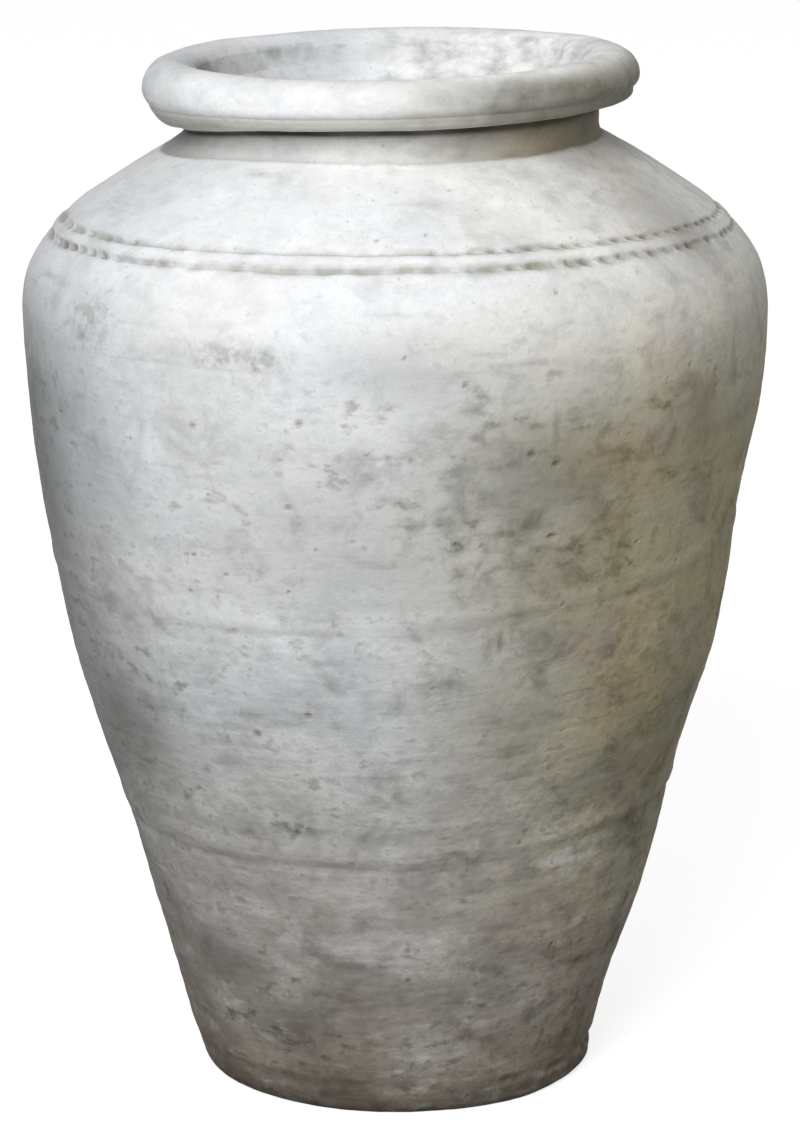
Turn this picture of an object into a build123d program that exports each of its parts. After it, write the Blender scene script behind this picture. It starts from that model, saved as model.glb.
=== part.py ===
from build123d import *
import os
from math import acos, atan2, cos, degrees, hypot, pi, radians, sin, sqrt, tan

# A large hand-built storage jar of fired clay. A flat base disc carries four wall stages, each
# straddling a ridge on the one below, then a short neck, a lip and a rolled rim.
# A strip of clay that was tied down with two turns of cord sits in a channel round the shoulder.
# Millimetres and degrees. The origin is the middle of the foot, with +Z up.

# Heights of the pieces, from the ground up
base_thickness = 30.0
foot_wall_height = 225.0
lower_belly_height = 240.0
upper_belly_height = 263.0
shoulder_height = 164.0
neck_height = 27.0
lip_height = 20.0
rim_height = 31.0

# Outline of the body: straight from the foot into a wide bend at the belly, then a tighter bend
# over the shoulder that runs out straight to the neck
foot_radius = 191.0
foot_bevel = 10.0
belly_radius = 360.0
belly_bend = 1130.0
shoulder_pitch = 30.0
wall_thickness = 26.0

# Neck, lip and rim, from the bore of the mouth outwards
mouth_radius = 172.0
mouth_chamfer = 12.0
neck_flare = 8.0
lip_overhang = 24.0
lip_flare = 12.0
lip_bulge = 2.0
rim_overhang = 4.0
rim_width = 58.0

# Joints between the pieces: a ridge on the piece below, a groove in the one above, a crease outside
ridge_height = 9.0
seam_crease = 2.5

# The strip round the shoulder, its raised band and the nicks that a cord pressed in both edges
strip_angle = 44.5
strip_margin = 9.0
strip_depth = 10.0
strip_edge_drop = 1.0
band_width = 20.0
band_height = 2.6
band_flare = 2.0
cord_mark_pitch = 20.0
cord_mark_width = 11.0
cord_mark_length = 7.0
cord_mark_floor = 0.3

# Heights of the joints
base_top = base_thickness
foot_wall_top = base_top + foot_wall_height
lower_belly_top = foot_wall_top + lower_belly_height
belly_level = lower_belly_top + upper_belly_height
neck_base = belly_level + shoulder_height
neck_top = neck_base + neck_height
lip_top = neck_top + lip_height
jar_top = lip_top + rim_height
beyond = jar_top

# Radii above the shoulder
neck_radius = mouth_radius + wall_thickness
neck_base_radius = neck_radius + neck_flare
lip_underside_radius = neck_radius + lip_overhang
lip_radius = lip_underside_radius + lip_flare
rim_radius = lip_radius + rim_overhang
rim_inner_radius = rim_radius - rim_width


def on_arc(centre, radius, angle):
    # A point of an arc in the (radius, height) plane, at an angle up from level
    return (centre[0] + radius * cos(radians(angle)), centre[1] + radius * sin(radians(angle)))


# The bend of the belly is upright at the widest level, and the foot lies on its tangent
belly_centre = (belly_radius - belly_bend, belly_level)
foot_run = foot_radius - belly_centre[0]
foot_lean = degrees(atan2(belly_level, foot_run) - acos(belly_bend / hypot(belly_level, foot_run)))

# The bend of the shoulder starts upright there too, and the straight slope to the neck is its tangent
shoulder_turn = 90 - shoulder_pitch
shoulder_run = belly_radius - neck_base_radius
shoulder_spare = shoulder_height * tan(radians(shoulder_turn)) - shoulder_run
shoulder_bend = shoulder_spare / (1 / cos(radians(shoulder_turn)) - 1)
shoulder_centre = (belly_radius - shoulder_bend, belly_level)


def wall_radius(height, inset):
    # Radius of the outer face of the wall below the belly, or of a face that lies inside it
    bend = belly_bend - inset
    drop = belly_level - height
    if drop > bend * sin(radians(foot_lean)):
        return foot_radius + height * tan(radians(foot_lean)) - inset / cos(radians(foot_lean))
    return belly_centre[0] + sqrt(bend**2 - drop**2)


def wall_face(inset, start, end):
    belly = belly_bend - inset
    shoulder = shoulder_bend - inset
    low = on_arc(belly_centre, belly, -foot_lean)
    widest = on_arc(belly_centre, belly, 0)
    high = on_arc(shoulder_centre, shoulder, shoulder_turn)
    return [
        Line(start, low),
        ThreePointArc(low, on_arc(belly_centre, belly, -foot_lean / 2), widest),
        ThreePointArc(widest, on_arc(shoulder_centre, shoulder, shoulder_turn / 2), high),
        Line(high, end),
    ]


foot_corner = (foot_radius, 0)
neck_corner = (neck_base_radius, neck_base)
floor_radius = wall_radius(base_top, wall_thickness)
floor_corner = (floor_radius, base_top)
mouth_rise = (neck_base_radius - mouth_radius) * tan(radians(shoulder_pitch))
mouth_corner = (mouth_radius, neck_base + mouth_rise - wall_thickness / cos(radians(shoulder_pitch)))

# Outline of the neck, the lip and the rim
neck_corner_top = (neck_radius, neck_top)
lip_underside = (lip_underside_radius, neck_top)
lip_edge = (lip_radius, lip_top)
rim_outside = (rim_radius, lip_top)
rim_crest = (rim_radius - rim_width / 2, jar_top)
rim_inside = (rim_inner_radius, lip_top)
mouth_edge = (mouth_radius, lip_top - mouth_chamfer)
jar_section = make_face(
    [
        Line((0, 0), foot_corner),
        *wall_face(0, foot_corner, neck_corner),
        Line(neck_corner, neck_corner_top),
        Line(neck_corner_top, lip_underside),
        SagittaArc(lip_underside, lip_edge, -lip_bulge),
        Line(lip_edge, rim_outside),
        ThreePointArc(rim_outside, rim_crest, rim_inside),
        Line(rim_inside, mouth_edge),
        Line(mouth_edge, mouth_corner),
        *wall_face(wall_thickness, floor_corner, mouth_corner),
        Line(floor_corner, (0, base_top)),
        Line((0, base_top), (0, 0)),
    ]
)


def joint_line(height, inside, outside):
    # From the axis outwards, over the ridge in the middle of the wall
    crest = ((inside + outside) / 2, height + ridge_height)
    return [(0, height), (inside, height), crest, (outside, height), (beyond, height)]


def wall_joint(height):
    return joint_line(height, wall_radius(height, wall_thickness), wall_radius(height, 0))


ground_line = [(0, -beyond), (beyond, -beyond)]
base_joint = wall_joint(base_top)
foot_joint = wall_joint(foot_wall_top)
lower_joint = wall_joint(lower_belly_top)
belly_joint = wall_joint(belly_level)
neck_joint = joint_line(neck_base, mouth_radius, neck_base_radius)
lip_joint = joint_line(neck_top, mouth_radius, neck_radius)
rim_joint = joint_line(lip_top, rim_inner_radius, lip_radius)
sky_line = [(0, jar_top + beyond), (beyond, jar_top + beyond)]


def crease_at(height):
    # A square set on its corner, centred on the outer face of the wall
    return Pos(wall_radius(height, 0), height) * RegularPolygon(seam_crease, 4)


creases = [crease_at(height) for height in (base_top, foot_wall_top, lower_belly_top, belly_level)]


def stage_section(lower_line, upper_line):
    window = make_face(Polyline(*lower_line, *reversed(upper_line), close=True))
    return (jar_section & window) - creases


def turned(section):
    return revolve(Plane.XZ * section, Axis.Z)


# The strip lies on the bend of the shoulder: its own x runs down the slope, y stands out of it
strip_middle = on_arc(shoulder_centre, shoulder_bend, strip_angle)
on_shoulder = Pos(*strip_middle) * Rot(0, 0, strip_angle - 90)
band_half = band_width / 2
band_foot_half = band_half + band_flare
strip_half = band_foot_half + strip_margin
band_face = band_height - strip_edge_drop
strip_section = on_shoulder * make_face(
    Polyline(
        (strip_half, -strip_edge_drop),
        (strip_half, -strip_depth),
        (-strip_half, -strip_depth),
        (-strip_half, -strip_edge_drop),
        (-band_foot_half, -strip_edge_drop),
        (-band_half, band_face),
        (band_half, band_face),
        (band_foot_half, -strip_edge_drop),
        close=True,
    )
)
channel_cut = Rectangle(2 * strip_half, 2 * strip_half, align=(Align.CENTER, Align.MIN))
channel = on_shoulder * Pos(0, -strip_depth) * channel_cut


def cord_band():
    # Each nick slopes up out of an edge of the band, from just above the strip to the face of the band
    mark_angle = degrees(cord_mark_width / strip_middle[0])
    mark_count = round(2 * pi * strip_middle[0] / cord_mark_pitch)
    nick_run = band_foot_half + cord_mark_floor
    nick_slope = (band_height - cord_mark_floor) / (nick_run - band_half + cord_mark_length)
    nicks = []
    for side in (1, -1):
        deep_end = (side * nick_run, cord_mark_floor - strip_edge_drop)
        past_end = (0, deep_end[1] + nick_run * nick_slope)
        nick_section = make_face(Polyline(deep_end, past_end, (deep_end[0], past_end[1]), close=True))
        nick = revolve(Plane.XZ * (on_shoulder * nick_section), Axis.Z, mark_angle)
        nicks += [Rot(0, 0, 360 * (step + 0.3) / mark_count) * nick for step in range(mark_count)]
    return turned(strip_section) - nicks


def base_disc():
    disc = turned(stage_section(ground_line, base_joint))
    return chamfer(disc.edges().group_by(Axis.Z)[0], foot_bevel)


pieces = {
    "base_disc": base_disc(),
    "foot_wall": turned(stage_section(base_joint, foot_joint)),
    "lower_belly": turned(stage_section(foot_joint, lower_joint)),
    "upper_belly": turned(stage_section(lower_joint, belly_joint)),
    "shoulder": turned(stage_section(belly_joint, neck_joint) - channel),
    "cord_band": cord_band(),
    "neck_collar": turned(stage_section(neck_joint, lip_joint)),
    "lip_ring": turned(stage_section(lip_joint, rim_joint)),
    "rim_roll": turned(stage_section(rim_joint, sky_line)),
}

os.makedirs("parts", exist_ok=True)
for name, solid in pieces.items():
    export_step(solid, f"parts/{name}.step")
    print(name, round(solid.volume / 1000), "cm3")
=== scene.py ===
from math import acos, atan2, cos, hypot, pi, radians, sin, sqrt, tan
import bpy
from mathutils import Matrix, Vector


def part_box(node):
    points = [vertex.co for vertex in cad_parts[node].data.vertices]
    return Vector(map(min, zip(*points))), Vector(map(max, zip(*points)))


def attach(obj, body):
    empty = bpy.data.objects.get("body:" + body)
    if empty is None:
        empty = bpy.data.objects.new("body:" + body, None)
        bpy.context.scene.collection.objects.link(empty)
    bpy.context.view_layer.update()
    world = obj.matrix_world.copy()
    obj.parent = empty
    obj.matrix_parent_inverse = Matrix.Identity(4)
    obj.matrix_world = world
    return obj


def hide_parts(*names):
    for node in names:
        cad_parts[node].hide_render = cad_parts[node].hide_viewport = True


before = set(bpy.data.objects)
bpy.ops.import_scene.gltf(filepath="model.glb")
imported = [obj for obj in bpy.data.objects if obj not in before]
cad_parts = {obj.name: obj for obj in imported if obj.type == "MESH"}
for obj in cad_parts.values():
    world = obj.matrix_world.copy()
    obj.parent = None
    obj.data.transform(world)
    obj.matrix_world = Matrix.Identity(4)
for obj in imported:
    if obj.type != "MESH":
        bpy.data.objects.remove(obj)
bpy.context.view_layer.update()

print("frame loaded:", ", ".join(sorted(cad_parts)))

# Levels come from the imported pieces, the bends and the wall are those of the jar's drawing
jar = {
    "footRadius": 0.191,
    "footRound": 0.012,
    "bellyRadius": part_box("upper_belly")[1].x,
    "bellyBend": 1.130,
    "shoulderPitch": radians(30),
    "wall": 0.026,
    "mouthRadius": 0.172,
    "neckFlare": 0.008,
    "stripAngle": radians(44.5),
    "stripHalf": 0.021,
    "stripDepth": 0.010,
    "baseTop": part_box("foot_wall")[0].z,
    "footTop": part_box("lower_belly")[0].z,
    "lowerTop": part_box("upper_belly")[0].z,
    "belly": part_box("shoulder")[0].z,
    "neckBase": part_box("neck_collar")[0].z,
    "neckTop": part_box("lip_ring")[0].z,
    "lipTop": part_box("rim_roll")[0].z,
    "rimTop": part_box("rim_roll")[1].z,
    "neckBaseRadius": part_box("neck_collar")[1].x,
    "rimRadius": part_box("rim_roll")[1].x,
}
# Distance between rings, and columns round the jar
grain = {
    "wall": 0.0028,
    "strip": 0.0012,
    "rim": 0.0022,
    "inside": 0.020,
    "shoulderInside": 0.008,
    "mouth": 0.005,
}
segments = {"wall": 840, "strip": 2000}


# The outline of the jar, as radius against height
bellyCentre = jar["bellyRadius"] - jar["bellyBend"]
footRun = jar["footRadius"] - bellyCentre
footLean = atan2(jar["belly"], footRun) - acos(jar["bellyBend"] / hypot(jar["belly"], footRun))
shoulderTurn = pi / 2 - jar["shoulderPitch"]
shoulderRise = jar["neckBase"] - jar["belly"]
shoulderSpare = shoulderRise * tan(shoulderTurn) - jar["bellyRadius"] + jar["neckBaseRadius"]
shoulderBend = shoulderSpare / (1 / cos(shoulderTurn) - 1)
shoulderCentre = jar["bellyRadius"] - shoulderBend


def wallRadius(z, inset=0.0):
    if z <= jar["belly"]:
        bend = jar["bellyBend"] - inset
        drop = jar["belly"] - z
        if drop > bend * sin(footLean):
            return jar["footRadius"] + z * tan(footLean) - inset / cos(footLean)
        return bellyCentre + sqrt(bend * bend - drop * drop)
    bend = shoulderBend - inset
    rise = z - jar["belly"]
    if rise < bend * sin(shoulderTurn):
        return shoulderCentre + sqrt(bend * bend - rise * rise)
    return shoulderCentre + bend * cos(shoulderTurn) - (rise - bend * sin(shoulderTurn)) * tan(shoulderTurn)


def wallSlope(z):
    step = 0.0004
    return (wallRadius(z + step) - wallRadius(z - step)) / (2 * step)


# A row is one ring of the turned jar: radius, height, drift of the radius with height, skin, across
def row(r, z, slope=0.0, skin=1.0, across=0.0):
    return {"r": r, "z": z, "slope": slope, "skin": skin, "across": across, "out": None}


def wallRows(low, high, step):
    rows = []
    z = low
    while z < high - 0.4 * step:
        slope = wallSlope(z)
        rows.append(row(wallRadius(z), z, slope))
        z += step / sqrt(1 + slope * slope)
    rows.append(row(wallRadius(high), high, wallSlope(high)))
    return rows


def insideRows(high, low, step):
    count = max(1, round((high - low) / step))
    rows = []
    for k in range(count + 1):
        z = high + (low - high) * k / count
        rows.append(row(max(wallRadius(z, jar["wall"]), jar["mouthRadius"]), z, wallSlope(z) * 0.3, 0.0))
    return rows


def arcRows(centreR, centreZ, radius, fromAngle, toAngle, step, tall=1.0):
    count = max(2, round(radius * abs(toAngle - fromAngle) / step))
    rows = []
    for k in range(count + 1):
        angle = fromAngle + (toAngle - fromAngle) * k / count
        rows.append(row(centreR + radius * cos(angle), centreZ + radius * tall * sin(angle)))
    return rows


def lineRows(start, end, step):
    count = max(1, round(hypot(end[0] - start[0], end[1] - start[1]) / step))
    rows = []
    for k in range(count + 1):
        t = k / count
        rows.append(row(start[0] + (end[0] - start[0]) * t, start[1] + (end[1] - start[1]) * t))
    return rows


def joinRows(*parts):
    rows = list(parts[0])
    for part in parts[1:]:
        rows += part[1:]
    return rows


# Outer skin of every piece, from under the foot over the rim and into the mouth
def baseSkin():
    turnRadius = jar["footRound"]
    centreR = jar["footRadius"] - turnRadius * 0.75
    under = [row(r, 0.0, 0.0, 0.0) for r in (0.0, 0.05, 0.10, 0.145)]
    under += [row(r, 0.0, 0.0, 0.4) for r in (0.165, centreR)]
    corner = arcRows(centreR, turnRadius, turnRadius, -pi / 2, -footLean, 0.002)
    return joinRows(under, corner, wallRows(corner[-1]["z"] + 0.002, jar["baseTop"], grain["wall"]))


def neckSkin():
    rows = []
    count = 12
    for k in range(count + 1):
        t = k / count
        r = jar["neckBaseRadius"] - jar["neckFlare"] * (1 - (1 - t) ** 2.2)
        z = jar["neckBase"] + (jar["neckTop"] - jar["neckBase"]) * t
        rows.append(row(r, z, wallSlope(jar["neckBase"] - 0.001) * (1 - t) ** 1.3))
    return rows


# The rim is one fat roll, the lip a bead that comes out from under it
rim = {
    "half": 0.028,
    "tall": 0.026,
    "width": 0.0565,
    "tuck": 0.012,
    "tucked": radians(-55),
    "inside": radians(148),
}
lip = {"out": 0.0535, "drop": 0.0095, "half": 0.0060, "grain": 0.0014}
rollR = jar["rimRadius"] - rim["half"]
rollZ = jar["rimTop"] - rim["tall"]
rimIn = jar["rimRadius"] - rim["width"]


def end(rows):
    return (rows[-1]["r"], rows[-1]["z"])


def lipSkin():
    beadR = jar["mouthRadius"] + lip["out"]
    beadZ = jar["lipTop"] - lip["drop"]
    neckEnd = (jar["neckBaseRadius"] - jar["neckFlare"], jar["neckTop"])
    under = lineRows(neckEnd, (beadR, beadZ - lip["half"]), 0.003)
    bead = arcRows(beadR, beadZ, lip["half"], -pi / 2, 0.0, lip["grain"])
    roll = arcRows(jar["rimRadius"] - rim["tuck"], rollZ, rim["tuck"], rim["tucked"], 0.0, lip["grain"])
    crease = lineRows(end(bead), (roll[0]["r"], roll[0]["z"]), 0.0012)
    return joinRows(under, bead, crease, roll)


def rimSkin():
    roll = arcRows(rollR, rollZ, rim["half"], 0.0, rim["inside"], grain["rim"], rim["tall"] / rim["half"])
    return joinRows(roll, lineRows(end(roll), (rimIn, jar["lipTop"]), 0.002))


def boreRows():
    rows = []
    count = 8
    for k in range(count + 1):
        t = k / count
        r = jar["mouthRadius"] + (rimIn - jar["mouthRadius"]) * (1 - t) ** 2
        rows.append(row(r, jar["lipTop"] + (jar["neckTop"] - jar["lipTop"]) * t))
    return rows


stripLevel = jar["belly"] + shoulderBend * sin(jar["stripAngle"])
stripSpan = jar["stripHalf"] / shoulderBend
stripRows = arcRows(shoulderCentre, jar["belly"], shoulderBend, jar["stripAngle"] - stripSpan,
                    jar["stripAngle"] + stripSpan, grain["strip"])
for ring in stripRows:
    turned = atan2(ring["z"] - jar["belly"], ring["r"] - shoulderCentre)
    ring["slope"] = wallSlope(ring["z"])
    ring["across"] = (turned - jar["stripAngle"]) * shoulderBend

skins = {
    "base_disc": baseSkin(),
    "foot_wall": wallRows(jar["baseTop"], jar["footTop"], grain["wall"]),
    "lower_belly": wallRows(jar["footTop"], jar["lowerTop"], grain["wall"]),
    "upper_belly": wallRows(jar["lowerTop"], jar["belly"], grain["wall"]),
    "below_strip": wallRows(jar["belly"], stripRows[0]["z"], grain["wall"]),
    "cord_band": stripRows,
    "above_strip": wallRows(stripRows[-1]["z"], jar["neckBase"], grain["wall"]),
    "neck_collar": neckSkin(),
    "lip_ring": lipSkin(),
    "rim_roll": rimSkin(),
}


# Outward directions are read along the whole outline, so that pieces that meet stay together
def faceOut(rows):
    for k, ring in enumerate(rows):
        before = rows[max(k - 1, 0)]
        after = rows[min(k + 1, len(rows) - 1)]
        alongR = after["r"] - before["r"]
        alongZ = after["z"] - before["z"]
        size = hypot(alongR, alongZ) or 1.0
        ring["out"] = (alongZ / size, -alongR / size)


wholeSkin = []
for rows in skins.values():
    if wholeSkin:
        rows[0] = dict(wholeSkin[-1], across=rows[0]["across"])
    wholeSkin += rows if not wholeSkin else rows[1:]
faceOut(wholeSkin)
lastRow = None
for rows in skins.values():
    if lastRow is not None:
        rows[0]["out"] = lastRow["out"]
    lastRow = rows[-1]


def sunk(ring, depth):
    lower = dict(ring)
    lower["r"] -= ring["out"][0] * depth
    lower["z"] -= ring["out"][1] * depth
    return lower


def insideOf(high, low, step=grain["inside"]):
    return [dict(ring, out=(-1.0, 0.0)) for ring in insideRows(high, low, step)]


def boreOf(rows):
    return [dict(ring, skin=0.35, out=(-1.0, 0.0)) for ring in rows]


channelFloor = [sunk(stripRows[k], jar["stripDepth"]) for k in range(0, len(stripRows), 5)]
if channelFloor[-1]["z"] != sunk(stripRows[-1], jar["stripDepth"])["z"]:
    channelFloor.append(sunk(stripRows[-1], jar["stripDepth"]))
jarFloor = [dict(row(r, jar["baseTop"], 0.0, 0.0), out=(0.0, 0.0)) for r in (0.17, 0.12, 0.06, 0.0)]
shoulderIn = insideOf(jar["neckBase"], jar["belly"], grain["shoulderInside"])
neckBore = lineRows((jar["mouthRadius"], jar["neckTop"]), (jar["mouthRadius"], jar["neckBase"]),
                    grain["mouth"])

sections = {
    "base_disc": skins["base_disc"] + jarFloor,
    "foot_wall": skins["foot_wall"] + insideOf(jar["footTop"], jar["baseTop"]),
    "lower_belly": skins["lower_belly"] + insideOf(jar["lowerTop"], jar["footTop"]),
    "upper_belly": skins["upper_belly"] + insideOf(jar["belly"], jar["lowerTop"]),
    "shoulder": skins["below_strip"] + channelFloor + skins["above_strip"] + shoulderIn,
    "cord_band": skins["cord_band"] + channelFloor[::-1],
    "neck_collar": skins["neck_collar"] + boreOf(neckBore),
    "lip_ring": skins["lip_ring"] + boreOf(boreRows()),
    "rim_roll": skins["rim_roll"],
}
print("outline drawn:", {name: len(rows) for name, rows in sections.items()})


# Short ways to wire a node tree
class Wiring:
    def __init__(self, tree):
        self.tree = tree

    def feed(self, socket, value):
        if isinstance(value, bpy.types.NodeSocket):
            self.tree.links.new(value, socket)
        else:
            socket.default_value = value

    def node(self, kind, inputs=None, **settings):
        made = self.tree.nodes.new(kind)
        for key, value in settings.items():
            setattr(made, key, value)
        for key, value in (inputs or {}).items():
            self.feed(made.inputs[key], value)
        return made

    def math(self, operation, a, b=0.0, c=0.0, clamp=False):
        made = self.node("ShaderNodeMath", {0: a, 1: b, 2: c}, operation=operation, use_clamp=clamp)
        return made.outputs[0]

    def add(self, *values):
        total = values[0]
        for value in values[1:]:
            total = self.math("ADD", total, value)
        return total

    def times(self, *values):
        total = values[0]
        for value in values[1:]:
            total = self.math("MULTIPLY", total, value)
        return total

    def vector(self, operation, a, b=(0.0, 0.0, 0.0)):
        made = self.node("ShaderNodeVectorMath", {0: a, 1: b}, operation=operation)
        return made.outputs[1 if operation in ("DOT_PRODUCT", "LENGTH") else 0]

    def combine(self, x, y, z):
        return self.node("ShaderNodeCombineXYZ", {0: x, 1: y, 2: z}).outputs[0]

    def split(self, value):
        return self.node("ShaderNodeSeparateXYZ", {0: value}).outputs

    def noise(self, at, scale, detail=2.0, roughness=0.5, distortion=0.0):
        made = self.node("ShaderNodeTexNoise", {"Vector": at, "Scale": scale, "Detail": detail,
                                                "Roughness": roughness, "Distortion": distortion})
        return made.outputs[0]

    def swing(self, at, scale, detail=2.0, roughness=0.5):  # noise from about -1 to 1
        return self.math("MULTIPLY_ADD", self.noise(at, scale, detail, roughness), 4.0, -2.0)

    def stretch(self, at, tall):  # squeezes a noise in height, 0 leaves the place on the ground
        return self.vector("MULTIPLY", at, (1.0, 1.0, tall))

    def ease(self, value, start, end, low=0.0, high=1.0):
        made = self.node("ShaderNodeMapRange", {0: value, 1: start, 2: end, 3: low, 4: high},
                         interpolation_type="SMOOTHSTEP")
        return made.outputs[0]

    def steps(self, value, *stops):  # straight from stop to stop, level beyond them
        total = stops[0][1]
        for (start, low), (end, high) in zip(stops, stops[1:]):
            part = self.node("ShaderNodeMapRange", {0: value, 1: start, 2: end, 3: 0.0, 4: high - low})
            total = self.math("ADD", total, part.outputs[0])
        return total

    def near(self, value, level, reach):  # 1 at the level, 0 beyond the reach
        return self.ease(self.math("ABSOLUTE", self.math("SUBTRACT", value, level)), reach, 0.0)

    def blend(self, factor, a, b, mode="MIX"):
        made = self.node("ShaderNodeMix", data_type="RGBA", blend_type=mode)
        for index, value in ((0, factor), (6, a), (7, b)):
            self.feed(made.inputs[index], value)
        return made.outputs[2]

    def spot(self, at, height, place):  # distance from a spot, 1 at its edge, and 1 on its side of the jar
        degreesRight, level, halfWide, halfTall = place
        angle = radians(degreesRight - 90)
        aside = self.vector("DOT_PRODUCT", at, (-sin(angle), cos(angle), 0.0))
        ahead = self.ease(self.vector("DOT_PRODUCT", at, (cos(angle), sin(angle), 0.0)), 0.02, 0.12)
        far = self.math("POWER", self.math("DIVIDE", aside, halfWide), 2.0)
        tall = self.math("POWER", self.math("DIVIDE", self.math("SUBTRACT", height, level), halfTall), 2.0)
        return self.math("SQRT", self.math("ADD", far, tall)), ahead

    def named(self, name, kind="FLOAT"):
        made = self.node("GeometryNodeInputNamedAttribute", {"Name": name}, data_type=kind)
        return made.outputs["Attribute"]

    def keep(self, geometry, name, value, kind="FLOAT"):
        inputs = {"Geometry": geometry, "Name": name, "Value": value}
        made = self.node("GeometryNodeStoreNamedAttribute", inputs, data_type=kind, domain="POINT")
        return made.outputs[0]


def newTree(name, taken, inputs):
    tree = bpy.data.node_groups.new(name, "GeometryNodeTree")
    face = tree.interface
    face.new_socket("Geometry", in_out="OUTPUT", socket_type="NodeSocketGeometry")
    face.new_socket(taken, in_out="INPUT", socket_type="NodeSocketGeometry")
    for label, kind in inputs:
        face.new_socket(label, in_out="INPUT", socket_type=kind)
    face.new_socket("Material", in_out="INPUT", socket_type="NodeSocketMaterial")
    return tree, Wiring(tree), tree.nodes.new("NodeGroupInput").outputs


def endTree(w, geometry, material):
    whole = w.node("GeometryNodeRealizeInstances", {0: geometry}).outputs[0]
    dressed = w.node("GeometryNodeSetMaterial", {"Geometry": whole, "Material": material}).outputs[0]
    w.feed(w.tree.nodes.new("NodeGroupOutput").inputs[0], dressed)


# How the hand left the clay: depths in metres
handShape = {
    "Lump Depth": 0.0026,
    "Dent Depth": 0.0009,
    "Scrape Depth": 0.0006,
    "Grit Depth": 0.00016,
    "Seam Depth": 0.0030,
    "Pit Depth": 0.0010,
    "Seed": 3.0,
}
# How the joints lean, lift and shift with height: level, amount
leans = {
    "across": ((0.62, 0.0), (0.70, 0.014), (stripLevel, 0.0117), (jar["neckBase"], 0.006),
               (jar["neckTop"], 0.028), (jar["lipTop"], 0.028), (jar["rimTop"], 0.020)),
    "right": ((0.0, 0.0), (jar["baseTop"], -0.042), (0.09, 0.0), (jar["footTop"], 0.085),
              (jar["lowerTop"], 0.115), (0.70, 0.0)),
    "hoist": ((0.05, 0.0), (jar["footTop"], 0.011), (jar["lowerTop"], 0.013), (0.70, 0.0), (0.88, 0.0),
              (jar["neckBase"], 0.005), (jar["neckTop"], 0.0055), (jar["rimTop"], 0.0035)),
    "hang": ((0.868, 0.0), (jar["neckBase"], -0.015), (jar["neckTop"], -0.017), (jar["lipTop"], -0.003),
             (jar["rimTop"], 0.0)),
    "rimTip": ((jar["neckTop"], 0.0), (jar["lipTop"], -0.0015)),
    "wander": ((0.0, 0.0), (0.06, 0.0016), (0.80, 0.0018), (stripLevel, 0.0009), (0.95, 0.0008)),
    "shift": ((0.936, 0.0), (0.962, -0.0055)),
    "leftTuck": ((0.938, 0.0), (0.944, 0.009), (0.953, 0.008), (0.961, 0.002), (0.970, 0.0)),
}
# Open seams: level, half width, strength, scale of the gaps in them
seamLines = {
    "base": (jar["baseTop"], 0.0090, 0.60, 26.0),
    "foot": (jar["footTop"], 0.0085, 0.62, 7.0),
    "rib": (0.378, 0.0060, 0.18, 8.0),
    "lower": (jar["lowerTop"], 0.0075, 0.40, 8.0),
    "belly": (jar["belly"], 0.0040, 0.10, 9.0),
    "neck": (jar["neckBase"], 0.0035, 0.25, 8.0),
}
# Forms that run round the jar: level, reach, rise
hoops = {
    "lowerShelf": (jar["lowerTop"] + 0.013, 0.016, 0.0011),
    "footShelf": (jar["footTop"] + 0.012, 0.015, 0.0011),
    "tuck": (0.852, 0.055, -0.0045),
}
# Swells and dents that stand out: turn from the front to the right, level, half width, half height, rise
marks = [
    (90, 0.562, 0.340, 0.165, -0.0125),
    (90, 0.330, 0.300, 0.130, -0.0065),
    (90, 0.090, 0.220, 0.110, -0.0045),
    (-90, 0.385, 0.300, 0.140, 0.0050),
    (-75, 0.000, 0.200, 0.060, -0.0025),
    (15, 0.700, 0.160, 0.090, 0.0020),
    (-35, 0.430, 0.140, 0.060, -0.0018),
    (84, 0.027, 0.080, 0.010, -0.0085),
    (-14, 0.712, 0.006, 0.006, -0.0020),
    (-31, 0.702, 0.006, 0.005, -0.0018),
    (-25, 0.403, 0.007, 0.006, -0.0022),
    (-15, 0.428, 0.006, 0.005, -0.0020),
    (-16, 0.633, 0.006, 0.004, -0.0016),
    (20, 0.682, 0.006, 0.005, -0.0020),
    (24, 0.671, 0.006, 0.005, -0.0022),
    (10, 0.749, 0.005, 0.004, -0.0016),
    (24, 0.602, 0.008, 0.004, -0.0026),
    (17, 0.500, 0.005, 0.018, -0.0012),
    (24, 0.705, 0.006, 0.027, -0.0008),
]
pitSize = {"wide": 0.02, "tall": 0.01}  # a mark under this width holds dirt, one over this height less
meshing = {"merge": 0.00001, "corner": 0.85}  # edges that turn more than the corner stay sharp


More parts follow.
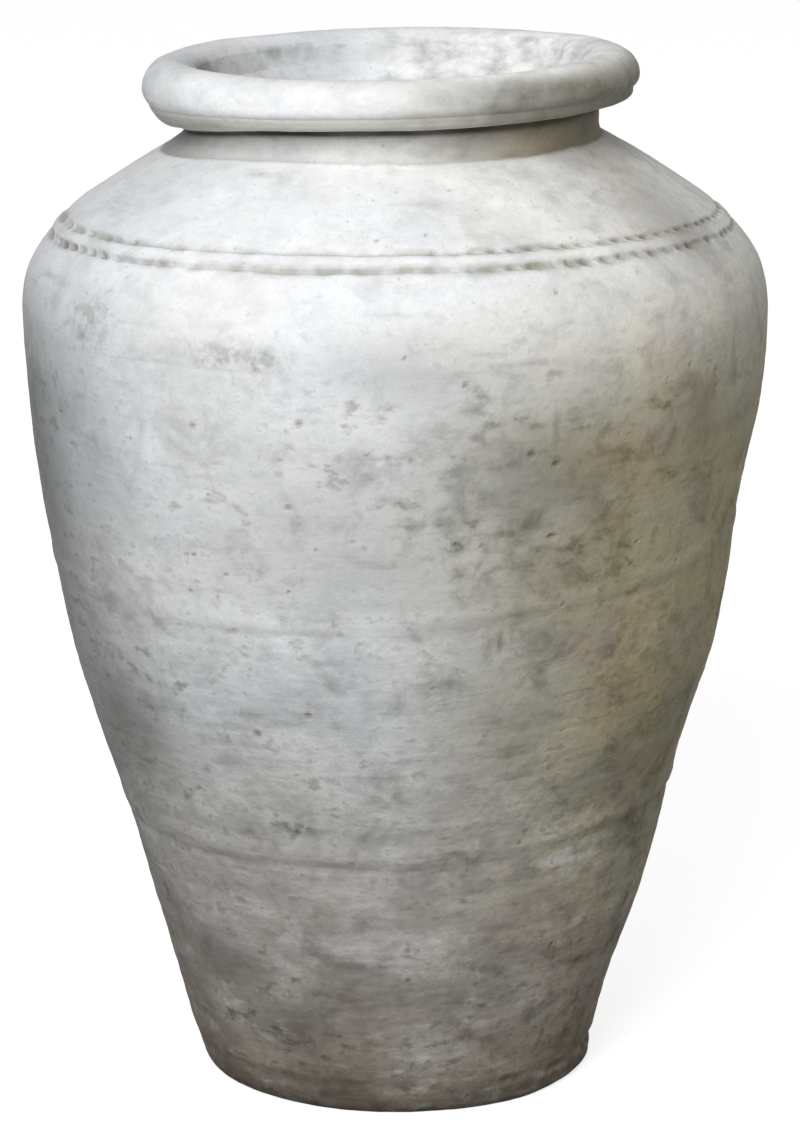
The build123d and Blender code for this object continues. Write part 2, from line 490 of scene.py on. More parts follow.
def buildTurnedClay():
    inputs = [("Segments", "NodeSocketInt"), ("Wrap", "NodeSocketInt")]
    inputs += [(label, "NodeSocketFloat") for label in handShape]
    tree, w, given = newTree("turnedClay", "Outline", inputs)

    # One column of points for each segment, each point a ring of the outline
    points = w.node("GeometryNodeAttributeDomainSize", {0: given["Outline"]}).outputs["Point Count"]
    rowCount = w.math("ADD", points, given["Wrap"])
    columnCount = w.math("ADD", given["Segments"], 1)
    grid = w.node("GeometryNodeMeshGrid", {"Vertices X": columnCount, "Vertices Y": rowCount}).outputs["Mesh"]
    index = w.node("GeometryNodeInputIndex").outputs[0]
    column = w.math("FLOOR", w.math("DIVIDE", w.math("ADD", index, 0.5), rowCount))
    ringIndex = w.math("MODULO", w.math("SUBTRACT", index, w.times(column, rowCount)), points)
    ringIndex = w.math("ROUND", ringIndex)
    turn = w.math("MULTIPLY_ADD", w.math("DIVIDE", column, given["Segments"]), 2 * pi, pi / 2)

    def fromRing(value, kind):
        made = w.node("GeometryNodeSampleIndex", data_type=kind, domain="POINT")
        w.feed(made.inputs["Geometry"], given["Outline"])
        w.feed(made.inputs["Value"], value)
        w.feed(made.inputs["Index"], ringIndex)
        return made.outputs[0]

    ring = w.split(fromRing(w.node("GeometryNodeInputPosition").outputs[0], "FLOAT_VECTOR"))
    facing = w.split(fromRing(w.named("facing", "FLOAT_VECTOR"), "FLOAT_VECTOR"))
    skin = fromRing(w.named("skin"), "FLOAT")
    across = fromRing(w.named("across"), "FLOAT")
    radius, height = ring[0], ring[2]
    outR, slope, outZ = facing[0], facing[1], facing[2]
    cosTurn = w.math("COSINE", turn)
    sinTurn = w.math("SINE", turn)
    bodyX = w.times(radius, cosTurn)
    at = w.combine(bodyX, w.times(radius, sinTurn), height)
    seedShift = w.combine(w.times(given["Seed"], 1.7), w.times(given["Seed"], 2.3), given["Seed"])
    seeded = w.vector("ADD", at, seedShift)

    def upTo(key):
        return w.steps(height, *leans[key])

    # Each joint leans and wanders a little, the lip is thicker on the left, the rim stands higher in front
    leftness = w.math("POWER", w.math("MAXIMUM", w.times(cosTurn, -1.0), 0.0), 4.0)
    frontness = w.math("MAXIMUM", w.times(sinTurn, -1.0), 0.0)
    stripArch = w.math("MULTIPLY_ADD", w.math("POWER", frontness, 1.5), 0.0095, -0.002)
    lift = w.add(
        w.times(upTo("across"), bodyX),
        w.times(upTo("right"), w.math("MAXIMUM", bodyX, 0.0)),
        upTo("hoist"),
        w.times(upTo("hang"), leftness),
        w.times(w.near(height, stripLevel, 0.070), stripArch),
        w.times(sinTurn, upTo("rimTip")),
        w.times(w.swing(w.stretch(seeded, 0.6), 7.0, 2.0), upTo("wander")),
    )
    standing = w.math("ADD", height, lift)
    leftTuck = w.times(upTo("leftTuck"), leftness, w.ease(radius, 0.203, 0.216))

    # Swells, dents, scraping and grit, all along the outward direction
    lump = w.times(w.swing(w.stretch(seeded, 1.1), 2.6, 2.0), given["Lump Depth"])
    dent = w.times(w.swing(seeded, 11.0, 3.0), given["Dent Depth"])
    low = w.ease(height, 0.56, 0.30)
    scrapeNoise = w.swing(w.stretch(seeded, 9.0), 7.0, 4.0, 0.6)
    scrape = w.times(scrapeNoise, given["Scrape Depth"], w.math("MULTIPLY_ADD", low, 0.60, 0.35))
    gritNoise = w.swing(seeded, 95.0, 3.0, 0.6)
    grit = w.times(gritNoise, given["Grit Depth"])

    def seamAt(key):
        level, reach, strength, wear = seamLines[key]
        broken = w.ease(w.noise(w.stretch(seeded, 0.3), wear, 4.0), 0.42, 0.66)
        return w.times(w.near(height, level, reach), broken, strength)

    seams = w.add(
        w.times(seamAt("base"), w.ease(cosTurn, 0.15, 0.65, 0.9, 2.0)),
        seamAt("foot"),
        seamAt("rib"),
        w.times(seamAt("lower"), w.ease(cosTurn, -0.45, 0.25, 0.45, 1.0)),
        seamAt("belly"),
        seamAt("neck"),
    )
    seam = w.times(seams, given["Seam Depth"])
    # painted shade in the crease inside the rim on the left, broken into blotches and kept with the dirt
    blotches = w.ease(w.noise(w.stretch(seeded, 0.4), 30.0, 3.0), 0.40, 0.60)
    innerCreaseShade = w.times(w.near(height, rollZ + 0.010, 0.013), w.ease(radius, 0.193, 0.187),
                          w.ease(cosTurn, 0.20, -0.60, 0.10, 1.0), blotches)
    # painted shade in the undercut under the lip, reaching further on the right and kept with the dirt
    underLipShadeReach = w.ease(cosTurn, 0.25, 0.85, 0.0055, 0.0100)
    underLipShade = w.times(w.near(height, jar["neckTop"] - 0.0012, underLipShadeReach),
                       w.ease(radius, 0.214, 0.206), w.ease(radius, 0.185, 0.190))
    hoopRise = w.add(*[w.times(w.near(height, level, reach), tall) for level, reach, tall in hoops.values()])

    voronoi = w.node("ShaderNodeTexVoronoi", {"Vector": seeded, "Scale": 62.0, "Randomness": 1.0})
    pitNoise = w.ease(w.noise(seeded, 17.0, 2.0), 0.57, 0.68)
    pitHole = w.times(w.ease(voronoi.outputs["Distance"], 0.21, 0.05), pitNoise, w.ease(height, 0.92, 0.90))
    pits = w.times(pitHole, given["Pit Depth"])

    swell = 0.0
    holes = 0.0
    for *place, markRise in marks:
        distance, ahead = w.spot(at, standing, place)
        patch = w.times(w.ease(distance, 1.0, 0.0), ahead)
        swell = w.math("MULTIPLY_ADD", patch, markRise, swell)
        if place[2] < pitSize["wide"]:
            holes = w.math("MULTIPLY_ADD", patch, 0.35 if place[3] > pitSize["tall"] else 0.7, holes)

    rimFade = w.ease(height, jar["neckBase"], jar["neckTop"], 1.0, 0.75)
    rise = w.add(w.times(w.add(lump, dent, scrape), rimFade), grit, hoopRise, swell)
    rise = w.times(w.math("SUBTRACT", rise, w.add(seam, pits)), skin)
    newRadius = w.add(radius, w.times(slope, lift), w.times(rise, outR))
    newRadius = w.math("SUBTRACT", newRadius, leftTuck)
    newX = w.math("ADD", w.times(newRadius, cosTurn), upTo("shift"))
    newHeight = w.math("MAXIMUM", w.math("ADD", standing, w.times(rise, outZ)), 0.0)  # stays on the ground
    newPlace = w.combine(newX, w.times(newRadius, sinTurn), newHeight)
    geometry = w.node("GeometryNodeSetPosition", {"Geometry": grid, "Position": newPlace}).outputs[0]

    # What the material and the cord marks read: settled dirt together with painted shade in the crease inside
    # the rim and under the lip, level, place across the strip, turn, outward
    settledDirtAndShade = w.add(
        w.times(seams, 0.42),
        w.times(innerCreaseShade, 0.55),
        w.times(underLipShade, 1.3),
        w.times(pitHole, 0.7),
        holes,
        w.ease(scrapeNoise, -0.35, -1.15, 0.0, 0.35),
        w.ease(gritNoise, -0.45, -1.3, 0.0, 0.3),
    )
    geometry = w.keep(geometry, "dirtAndShade", w.times(settledDirtAndShade, skin))
    geometry = w.keep(geometry, "level", height)
    geometry = w.keep(geometry, "across", across)
    geometry = w.keep(geometry, "turn", turn)
    outward = w.combine(w.times(outR, cosTurn), w.times(outR, sinTurn), outZ)
    geometry = w.keep(geometry, "outward", outward, "FLOAT_VECTOR")
    merging = {"Geometry": geometry, "Distance": meshing["merge"]}
    geometry = w.node("GeometryNodeMergeByDistance", merging).outputs[0]
    corner = w.math("GREATER_THAN", w.node("GeometryNodeInputMeshEdgeAngle").outputs[0], meshing["corner"])
    shading = {0: geometry, "Selection": corner, "Shade Smooth": False}
    geometry = w.node("GeometryNodeSetShadeSmooth", shading, domain="EDGE").outputs[0]
    endTree(w, geometry, given["Material"])
    return tree


# Two turns of cord pressed into the strip, worn smooth at the front
cordMarks = {
    "Mark Count": 101.0,
    "Line Offset": 0.0098,
    "Line Half Width": 0.0054,
    "Mark Depth": 0.0032,
    "Band Rise": 0.0012,
    "Slant": 55.0,
    "Worn Middle": -16.0,  # degrees right of the front
    "Seed": handShape["Seed"],
}
# The upper and the lower turn: side of the strip, start of the marks, how much stays where it is worn
cordTurns = [(1.0, 0.0, 0.7), (-1.0, 0.37, 1.0)]


def buildCordMarks():
    inputs = [(label, "NodeSocketFloat") for label in cordMarks]
    tree, w, given = newTree("cordMarks", "Strip", inputs)
    at = w.node("GeometryNodeInputPosition").outputs[0]
    seeded = w.vector("ADD", at, w.combine(given["Seed"], given["Seed"], 0.0))
    across = w.named("across")
    turn = w.named("turn")
    outward = w.named("outward", "FLOAT_VECTOR")
    fromMiddle = w.math("SUBTRACT", turn, w.math("RADIANS", w.math("ADD", given["Worn Middle"], 270.0)))
    facingFront = w.add(w.math("COSINE", fromMiddle), w.times(w.swing(seeded, 12.0, 2.0), 0.05))
    rubbed = w.ease(w.noise(seeded, 9.0, 2.0), 0.56, 0.72, 0.0, 0.6)
    wear = w.math("MAXIMUM", w.ease(facingFront, 0.72, 0.95), rubbed)
    groove = 0.0
    stain = 0.0
    for side, start, kept in cordTurns:
        fromLine = w.math("SUBTRACT", across, w.times(given["Line Offset"], side))
        wobble = w.times(w.swing(seeded, 26.0, 3.0), 0.0015)
        away = w.math("ABSOLUTE", w.math("ADD", fromLine, wobble))
        halfWidth = w.times(given["Line Half Width"], w.math("MULTIPLY_ADD", wear, -0.25, 1.0))
        line = w.ease(w.math("DIVIDE", away, halfWidth), 1.0, 0.10)
        phase = w.add(w.times(turn, w.math("DIVIDE", given["Mark Count"], 2 * pi)),
                      w.times(fromLine, given["Slant"]), w.times(w.swing(seeded, 20.0, 1.0), 0.24), start)
        beat = w.math("ABSOLUTE", w.math("SUBTRACT", w.math("FRACT", phase), 0.5))
        slit = w.math("ABSOLUTE", w.math("SUBTRACT", w.math("FRACT", w.times(phase, 3.0)), 0.5))
        dash = w.times(w.add(w.ease(beat, 0.36, 0.08, 0.0, 0.85), w.ease(slit, 0.40, 0.15, 0.0, 0.30)),
                       w.ease(w.noise(seeded, 34.0, 2.0), 0.34, 0.60, 0.35, 1.15))
        faded = w.ease(w.noise(seeded, 21.0, 3.0), 0.36, 0.60, 0.12 * kept, 0.62 * kept)
        mark = w.add(w.times(dash, w.math("MULTIPLY_ADD", wear, -0.85, 1.0)), w.times(wear, faded), 0.16)
        groove = w.math("ADD", groove, w.times(line, mark))
        smear = w.times(w.ease(away, 0.0095, 0.0010), w.math("MULTIPLY_ADD", wear, kept - 1.0, 1.0))
        stain = w.math("MAXIMUM", stain, smear)
    fromCentre = w.math("ABSOLUTE", across)
    edge = w.ease(fromCentre, 0.019, 0.012)
    plump = w.times(w.ease(fromCentre, 0.0115, 0.005), given["Band Rise"])
    normal = w.node("GeometryNodeInputNormal").outputs[0]
    top = w.ease(w.vector("DOT_PRODUCT", normal, outward), 0.2, 0.5)
    rise = w.times(w.math("SUBTRACT", plump, w.times(groove, given["Mark Depth"])), edge, top)
    offset = w.node("ShaderNodeVectorMath", {0: outward}, operation="SCALE")
    w.feed(offset.inputs["Scale"], rise)
    dirtAndShade = w.math("ADD", w.named("dirtAndShade"), w.times(groove, edge, 0.42))
    blotches = w.ease(w.noise(seeded, 40.0, 4.0), 0.34, 0.62, 0.10, 1.0)
    stain = w.times(stain, blotches, w.ease(w.noise(seeded, 8.0, 2.0), 0.34, 0.60, 0.5, 1.0), top)
    geometry = w.keep(given["Strip"], "dirtAndShade", dirtAndShade)
    geometry = w.keep(geometry, "stain", stain)
    placed = w.node("GeometryNodeSetPosition", {"Geometry": geometry, "Offset": offset.outputs[0]})
    endTree(w, placed.outputs[0], given["Material"])
    return tree


# Fired clay under a worn lime wash; both finishes share one recipe and meet without a step
def paint(red, green, blue):
    return [((c / 255 + 0.055) / 1.055) ** 2.4 for c in (red, green, blue)] + [1.0]


# Colour of the coat from the bare foot up to the rim: level, colour
coat = [
    (0.000, paint(114, 105, 95)),
    (0.060, paint(142, 134, 124)),
    (0.110, paint(148, 142, 135)),
    (0.160, paint(157, 153, 148)),
    (0.220, paint(170, 167, 162)),
    (0.300, paint(178, 177, 174)),
    (0.420, paint(204, 204, 203)),
    (0.550, paint(212, 212, 211)),
    (0.660, paint(211, 212, 213)),
    (0.740, paint(220, 221, 222)),
    (0.800, paint(229, 229, 228)),
    (0.880, paint(233, 233, 232)),
]
clayColours = {
    "wash": paint(236, 236, 234),
    "cool": paint(247, 250, 255),
    "right": paint(218, 208, 172),
    # the next colour darkens stains, blots and the damp foot, and also paints shade on the left side, at the
    # ends of the neck and inside the mouth
    "smudgeAndShade": paint(150, 149, 145),
    "olive": paint(188, 187, 168),
    "ruddy": paint(250, 242, 240),
    # the next colour greys the neck as grime and painted shade under the rim, and the shoulder below the
    # right of the neck as painted shadow
    "grimeAndShade": paint(214, 213, 210),
    "brown": paint(204, 192, 168),
    "rimSide": paint(150, 147, 136),
    "lipShade": paint(202, 199, 190),
    "cordStain": paint(178, 175, 156),
    # the next colour is for specks and settled dirt, and also for the painted shade under the lip and in the
    # crease inside the rim
    "dirtAndShade": paint(66, 61, 51),
}
# Noises that break up the colour: squeeze in height, scale, detail, roughness, distortion
clayNoises = {
    "clouds": (1.0, 4.2, 5.0, 0.60, 0.0),
    "patches": (1.4, 12.0, 6.0, 0.62, 0.0),
    "dabs": (1.6, 46.0, 3.0, 0.60, 0.0),
    "streaks": (5.0, 12.0, 8.0, 0.68, 0.0),
    "flecks": (1.0, 130.0, 4.0, 0.65, 0.0),
    "fine": (1.0, 420.0, 3.0, 0.60, 0.0),
    "crumbs": (1.0, 85.0, 2.0, 0.60, 0.0),
    "blots": (1.0, 23.0, 4.0, 0.66, 0.5),
    "dapple": (1.9, 36.0, 4.0, 0.62, 0.4),
    "moss": (1.0, 7.5, 6.0, 0.70, 0.0),
    "rust": (1.0, 10.0, 4.0, 0.60, 0.0),
}
# How each layer of colour comes and goes with height: level, strength
layers = {
    "contrast": ((0.0, 2.0), (0.30, 1.8), (0.55, 1.2), (0.80, 0.80), (0.95, 1.0)),
    "streaks": ((0.0, 0.24), (0.35, 0.26), (0.60, 0.06)),
    "cool": ((0.30, 0.2), (0.42, 0.9), (0.95, 1.0)),
    "right": ((0.0, 0.20), (0.10, 0.35), (0.20, 0.60), (0.42, 1.0), (0.68, 1.0), (0.76, 0.55),
              (0.84, 0.14), (0.93, 0.20)),
    # painted shade on the left side of the jar, by height
    "leftLimbShade": ((0.18, 0.2), (0.46, 0.70), (0.70, 0.75), (0.82, 0.15)),
    "blot": ((0.1, 0.55), (0.5, 0.50), (0.72, 0.40), (0.82, 0.18)),
    "dab": ((0.05, 0.75), (0.24, 0.65), (0.5, 0.50), (0.72, 0.40), (0.80, 0.18)),
}
# Dark smudges, one of them partly painted shade along the left edge, and light rubs: turn from the front to
# the right, level, half width, half height, strength
smudgesAndShade = [
    (22, 0.655, 0.160, 0.110, 0.60),
    (52, 0.690, 0.080, 0.070, 0.40),
    (22, 0.545, 0.120, 0.080, 0.32),
    (18, 0.420, 0.090, 0.070, 0.28),
    (-6, 0.600, 0.150, 0.090, 0.18),
    # partly a stain and partly painted shade along the left edge
    (-74, 0.640, 0.085, 0.170, 0.35),
    (-55, 0.390, 0.110, 0.080, 0.55),
    (-25, 0.771, 0.085, 0.020, 0.50),
    (-52, 0.784, 0.045, 0.038, 0.50),
    (20, 0.766, 0.050, 0.006, 0.35),
    (60, 0.862, 0.085, 0.065, 0.50),
    (3, 0.765, 0.110, 0.050, 0.28),
    (-19, 0.308, 0.036, 0.009, 0.90),
    (-43, 0.150, 0.070, 0.040, 0.40),
    (-27, 0.085, 0.070, 0.040, 0.50),
    (18, 0.123, 0.060, 0.022, 0.35),
]
rubs = [
    (35, 0.262, 0.050, 0.007, 0.50),
    (-4, 0.182, 0.110, 0.028, 0.32),
    (12, 0.075, 0.080, 0.030, 0.14),
    (-30, 0.520, 0.120, 0.050, 0.25),
]
smallSmudge = 0.04  # half height under which a smudge is crumbled
surface = {"specular": 0.25, "bumpDistance": 0.0012}


def newMaterial(name):
    made = bpy.data.materials.new(name)
    made.use_nodes = True
    made.node_tree.nodes.clear()
    return made, Wiring(made.node_tree)


def clayMaterial(name, finish):
    made, w = newMaterial(name)

    def own(key):
        return w.node("ShaderNodeAttribute", attribute_type="GEOMETRY", attribute_name=key).outputs["Fac"]

    at = w.node("ShaderNodeTexCoord").outputs["Object"]
    place = w.split(at)
    side, height = place[0], place[2]
    level = own("level")
    radial = w.vector("LENGTH", w.stretch(at, 0.0))
    sideways = w.math("DIVIDE", side, radial)
    noises = {key: w.noise(w.stretch(at, tall), *rest) for key, (tall, *rest) in clayNoises.items()}
    patches, dabs, blots = noises["patches"], noises["dabs"], noises["blots"]

    def about(noise, amount):  # noise swung about nought
        return w.times(w.math("SUBTRACT", noise, 0.5), amount)

    def upTo(key):
        return w.steps(height, *layers[key])

    def stained(factor, shade):
        return w.blend(factor, colour, clayColours[shade], "MULTIPLY")

    def covered(factor, shade):
        return w.blend(factor, colour, clayColours[shade])

    def lit(amount):
        return w.blend(1.0, colour, w.combine(amount, amount, amount), "MULTIPLY")

    # The coat, mottled most at the foot, on the right and in the mouth
    coatLevel = w.add(height, about(patches, 0.16), about(noises["clouds"], 0.14))
    ramp = w.node("ShaderNodeValToRGB", {0: coatLevel})
    for k, (stop, shade) in enumerate(coat):
        mark = ramp.color_ramp.elements[k] if k < 2 else ramp.color_ramp.elements.new(stop)
        mark.position = stop
        mark.color = shade
    colour = ramp.outputs[0]
    streaked = w.times(about(noises["streaks"], 1.0), upTo("streaks"))
    swirl = w.add(about(patches, 0.60), about(dabs, 0.45), streaked)
    mouth = w.times(w.ease(radial, 0.205, 0.190), w.ease(level, 0.90, 0.93))
    contrast = w.times(upTo("contrast"), w.ease(side, -0.02, 0.18, 1.0, 1.35))
    colour = lit(w.math("MULTIPLY_ADD", swirl, w.math("MULTIPLY_ADD", mouth, 1.4, contrast), 1.0))

    # Cool on the left, brown on the right, paler again low on the right
    cool = w.ease(w.add(noises["clouds"], w.times(side, -0.35)), 0.42, 0.66)
    colour = stained(w.times(cool, upTo("cool")), "cool")
    outside = w.math("MAXIMUM", w.ease(radial, 0.205, 0.226), w.ease(level, 0.930, 0.922))
    right = w.times(w.ease(side, -0.04, 0.25), outside)
    colour = stained(w.times(right, upTo("right"), w.ease(patches, 0.30, 0.60, 0.75, 1.05)), "right")
    lowRight = w.times(w.ease(side, 0.05, 0.18), w.ease(height, 0.36, 0.22))
    colour = lit(w.math("MULTIPLY_ADD", lowRight, 0.27, 1.0))

    def ragged(spot, crumbled=False):
        distance, ahead = w.spot(at, height, spot)
        distance = w.add(distance, about(patches, -1.5), about(dabs, -1.6))
        broken = w.ease(noises["crumbs"], 0.38, 0.60, 0.25, 1.0) if crumbled else 1.0
        return w.times(w.ease(distance, 1.1, 0.1), ahead, broken)

    # painted shade: the left side of the jar is darkened, most where it faces furthest left
    colour = stained(w.times(w.ease(sideways, -0.62, -1.0), upTo("leftLimbShade")), "smudgeAndShade")
    for *spot, strength in smudgesAndShade:
        colour = stained(w.times(ragged(spot, spot[3] < smallSmudge), strength), "smudgeAndShade")
    for *spot, strength in rubs:
        colour = covered(w.times(ragged(spot), strength), "wash")

    # Blots, pale dapples, the damp edge of the foot, moss and rust
    blot = w.times(w.ease(blots, 0.47, 0.77), upTo("blot"), w.ease(side, -0.15, 0.20, 0.8, 1.45))
    dab = w.times(w.ease(dabs, 0.52, 0.70), w.ease(patches, 0.36, 0.56), upTo("dab"))
    colour = stained(w.math("MAXIMUM", blot, dab), "smudgeAndShade")
    pale = w.times(w.ease(noises["dapple"], 0.50, 0.76), w.ease(patches, 0.36, 0.60),
                   w.ease(height, 0.42, 0.22))
    colour = covered(w.times(pale, 0.30), "wash")
    damp = w.times(w.ease(w.add(height, about(blots, 0.060)), 0.030, 0.006),
                   w.ease(blots, 0.40, 0.58, 0.35, 1.0))
    colour = stained(w.times(damp, 0.85), "smudgeAndShade")
    mossy = w.times(w.ease(noises["moss"], 0.54, 0.68), w.ease(side, 0.0, 0.25, 0.08, 0.9),
                    w.ease(height, 0.82, 0.72, 0.15, 1.0))
    colour = stained(mossy, "olive")
    ruddy = w.times(w.ease(noises["rust"], 0.48, 0.64), w.ease(side, -0.02, 0.18, 0.05, 0.9),
                    w.ease(height, 0.84, 0.72))
    colour = stained(ruddy, "ruddy")

    # The neck is grey under the rim and brown on the right, where the rim darkens too. The grey under the rim
    # is grime and painted shade, the grey on the shoulder below the right of the neck is painted shadow, and
    # the darker ends of the neck are painted shade
    belowLip = w.ease(level, 0.953, 0.948)
    neck = w.times(w.ease(w.add(level, about(dabs, 0.004)), 0.9195, 0.9225), belowLip,
                   w.ease(patches, 0.30, 0.60, 0.85, 1.05), w.ease(radial, 0.182, 0.190))
    shadowEdge = w.math("SUBTRACT", level, w.ease(side, 0.10, 0.22, 0.0, -0.018))
    underNeckShade = w.times(w.ease(shadowEdge, 0.914, 0.926), w.ease(side, 0.08, 0.16), 0.7)
    colour = stained(w.math("MAXIMUM", neck, w.times(underNeckShade, belowLip)), "grimeAndShade")
    colour = stained(w.times(neck, w.ease(side, 0.0, 0.15), 0.9), "brown")
    # painted shade: the right end of the neck is darker
    colour = stained(w.times(neck, w.ease(side, 0.08, 0.19), 0.30), "smudgeAndShade")
    # painted shade: the left end of the neck is darker
    colour = stained(w.times(neck, w.ease(sideways, -0.80, -1.0), 0.5), "smudgeAndShade")
    sooty = w.ease(w.add(patches, about(dabs, 0.4)), 0.20, 0.80, 0.60, 1.30)
    rimSide = w.times(w.ease(w.add(side, about(patches, 0.20)), -0.05, 0.12), w.ease(radial, 0.214, 0.236),
                      w.ease(level, 0.940, 0.950), sooty)
    colour = stained(rimSide, "rimSide")
    mouthShade = w.times(mouth, w.ease(level, 0.951, 0.957), w.ease(side, 0.02, -0.11),
                         w.ease(w.add(patches, about(dabs, 0.9)), 0.36, 0.64, 0.0, 0.50))
    colour = stained(mouthShade, "smudgeAndShade")
    lipShade = w.times(w.near(level, 0.958, 0.013), w.ease(radial, 0.216, 0.226),
                       w.ease(patches, 0.30, 0.60, 0.8, 1.05))
    colour = stained(lipShade, "lipShade")
    colour = stained(w.times(own("stain"), 0.85), "cordStain")

    # Specks, the dirt that has settled together with the painted shade under the lip and in the crease inside
    # the rim, and a fine grain
    speck = w.times(w.ease(noises["flecks"], 0.62, 0.74), w.ease(patches, 0.42, 0.60), 0.40)
    colour = covered(speck, "dirtAndShade")
    settledDirtAndShade = w.math("MULTIPLY", own("dirtAndShade"), finish["dirtAndShade"], clamp=True)
    colour = covered(w.times(settledDirtAndShade, w.ease(noises["clouds"], 0.30, 0.55, 0.7, 1.0)), "dirtAndShade")
    colour = lit(w.math("MULTIPLY_ADD", noises["fine"], 0.22, 0.89))

    laid = w.ease(w.add(height, about(patches, 0.3)), 0.05, 0.80)
    rough = w.math("MULTIPLY_ADD", w.math("SUBTRACT", noises["streaks"], laid), 0.10, finish["roughness"])
    relief = w.add(w.times(noises["flecks"], 0.9), w.times(noises["fine"], 0.35), w.times(dabs, 0.8),
                   w.times(noises["streaks"], w.ease(height, 0.6, 0.3, 0.15, 0.7)))
    bump = w.node("ShaderNodeBump", {"Strength": finish["bump"], "Distance": surface["bumpDistance"],
                                     "Height": relief})
    shader = w.node("ShaderNodeBsdfPrincipled", {"Base Color": colour, "Roughness": rough,
                                                 "Normal": bump.outputs[0],
                                                 "Specular IOR Level": surface["specular"]})
    w.feed(w.node("ShaderNodeOutputMaterial").inputs[0], shader.outputs[0])
    return made


finishes = {
    "whitened_clay": clayMaterial("whitenedClay", {"roughness": 0.84, "bump": 0.42, "dirtAndShade": 0.9}),
    "bare_clay": clayMaterial("bareClay", {"roughness": 0.88, "bump": 0.50, "dirtAndShade": 0.95}),
}
print("clay mixed:", ", ".join(finishes))


def inputId(tree, name):
    wanted = [item for item in tree.interface.items_tree if item.name == name and item.in_out == "INPUT"]
    return wanted[0].identifier


def addObject(name, data):
    made = bpy.data.objects.new(name, data)
    bpy.context.scene.collection.objects.link(made)
    return made


def outlineObject(name, rows):
    mesh = bpy.data.meshes.new(name + "Outline")
    edges = [(k, k + 1) for k in range(len(rows) - 1)]
    mesh.from_pydata([(ring["r"], 0.0, ring["z"]) for ring in rows], edges, [])
    facings = []
    for ring in rows:
        facings += [ring["out"][0], ring["slope"], ring["out"][1]]
    mesh.attributes.new("facing", "FLOAT_VECTOR", "POINT").data.foreach_set("vector", facings)
    for key in ("skin", "across"):
        values = [ring[key] for ring in rows]
        mesh.attributes.new(key, "FLOAT", "POINT").data.foreach_set("value", values)
    return addObject(name, mesh)


def addTree(piece, tree, values):
    modifier = piece.modifiers.new(tree.name, "NODES")
    modifier.node_group = tree
    for name, value in values.items():
        modifier[inputId(tree, name)] = value


def settle(piece):
    bpy.context.view_layer.update()
    evaluated = piece.evaluated_get(bpy.context.evaluated_depsgraph_get())
    mesh = bpy.data.meshes.new_from_object(evaluated)
    piece.modifiers.clear()
    piece.data = mesh
    mesh.name = piece.name


pieceNames = {
    "base_disc": ("baseDisc", "bare_clay"),
    "foot_wall": ("footWall", "bare_clay"),
    "lower_belly": ("lowerBelly", "bare_clay"),
    "upper_belly": ("upperBelly", "whitened_clay"),
    "shoulder": ("shoulderWall", "whitened_clay"),
    "cord_band": ("cordBand", "whitened_clay"),
    "neck_collar": ("neckCollar", "whitened_clay"),
    "lip_ring": ("lipRing", "whitened_clay"),
    "rim_roll": ("rimRoll", "whitened_clay"),
}
turnedClay = buildTurnedClay()
cordTree = buildCordMarks()
for node, rows in sections.items():
    name, slotName = pieceNames[node]
    clay = finishes[slotName]
    piece = outlineObject(name, rows)
    columns = segments["strip" if node == "cord_band" else "wall"]
    wrap = 0 if node == "base_disc" else 1  # the base closes on the axis, the others are rings
    addTree(piece, turnedClay, {"Segments": columns, "Wrap": wrap, "Material": clay, **handShape})
    if node == "cord_band":
        addTree(piece, cordTree, {"Material": clay, **cordMarks})
    settle(piece)
    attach(piece, "root")
    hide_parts(node)
    print("turned:", name, len(piece.data.polygons), "faces")


# Floor, light and camera
stage = {
    "floorCorners": [(-9, -6, 0), (9, -6, 0), (9, 14, 0), (-9, 14, 0)],
    "floorSeen": [0.55, 0.55, 0.55, 1.0],
    "floorBounce": [0.22, 0.22, 0.21, 1.0],
    "floorGlow": 0.76,
}
light = {
    "keyPlace": (-1.20, -4.22, 3.10),
    "keySize": 2.8,
    "keyPower": 205.0,
    "aim": (0.0, 0.0, 0.65),
    "worldFill": 0.40,
}
view = {"place": (0.004, -4.480, 1.570), "pitchDown": 13.45, "lens": 149.5, "sensor": 36.0}


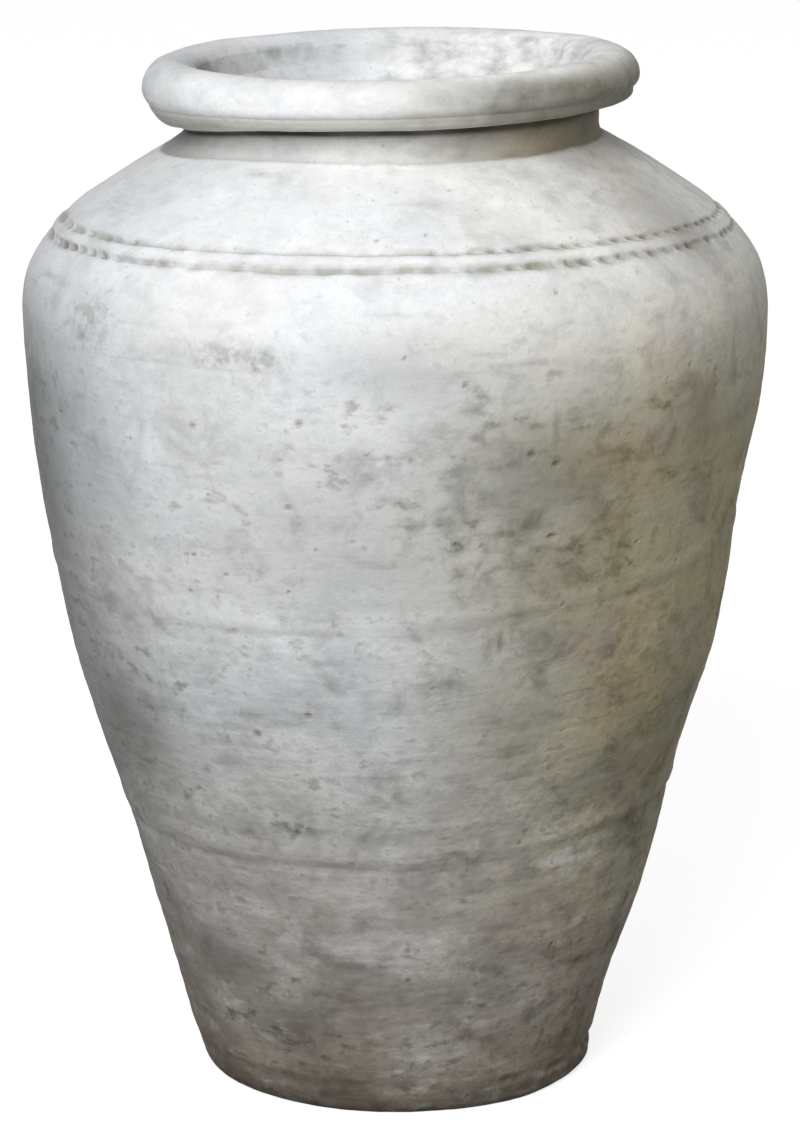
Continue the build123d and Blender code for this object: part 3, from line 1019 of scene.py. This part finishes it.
def seenRays(w):  # 1 for what the camera sees, also in a reflection or through glass
    rays = w.node("ShaderNodeLightPath").outputs
    indirect = w.math("MAXIMUM", rays["Is Glossy Ray"], rays["Is Transmission Ray"])
    return w.math("MAXIMUM", rays["Is Camera Ray"], indirect)


def floorMaterial():
    made, w = newMaterial("paleFloor")
    seen = seenRays(w)
    colour = w.blend(seen, stage["floorBounce"], stage["floorSeen"])
    pale = w.node("ShaderNodeBsdfDiffuse", {"Color": colour})
    glow = w.node("ShaderNodeEmission", {"Strength": w.times(seen, stage["floorGlow"])})
    both = w.node("ShaderNodeAddShader", {0: pale.outputs[0], 1: glow.outputs[0]})
    w.feed(w.node("ShaderNodeOutputMaterial").inputs[0], both.outputs[0])
    return made


floorMesh = bpy.data.meshes.new("floor")
floorMesh.from_pydata(stage["floorCorners"], [], [(0, 1, 2, 3)])
floorMesh.materials.append(floorMaterial())
floor = addObject("floor", floorMesh)

keyLamp = bpy.data.lights.new("keyLamp", "AREA")
keyLamp.shape = "DISK"
keyLamp.size = light["keySize"]
keyLamp.energy = light["keyPower"]
key = addObject("keyLamp", keyLamp)
key.location = light["keyPlace"]
key.rotation_euler = (Vector(light["aim"]) - key.location).to_track_quat("-Z", "Y").to_euler()

world = bpy.data.worlds.new("studio")
bpy.context.scene.world = world
world.use_nodes = True
world.node_tree.nodes.clear()
sky = Wiring(world.node_tree)
skyStrength = sky.steps(seenRays(sky), (0.0, light["worldFill"]), (1.0, 1.0))
skyGlow = sky.node("ShaderNodeBackground", {"Color": [1.0, 1.0, 1.0, 1.0], "Strength": skyStrength})
sky.feed(sky.node("ShaderNodeOutputWorld").inputs[0], skyGlow.outputs[0])

cameraData = bpy.data.cameras.new("camera")
cameraData.lens = view["lens"]
cameraData.sensor_width = view["sensor"]
camera = addObject("camera", cameraData)
camera.location = view["place"]
camera.rotation_euler = (radians(90 - view["pitchDown"]), 0.0, 0.0)
bpy.context.scene.camera = camera
bpy.context.scene.view_settings.view_transform = "Standard"
print("stage set")
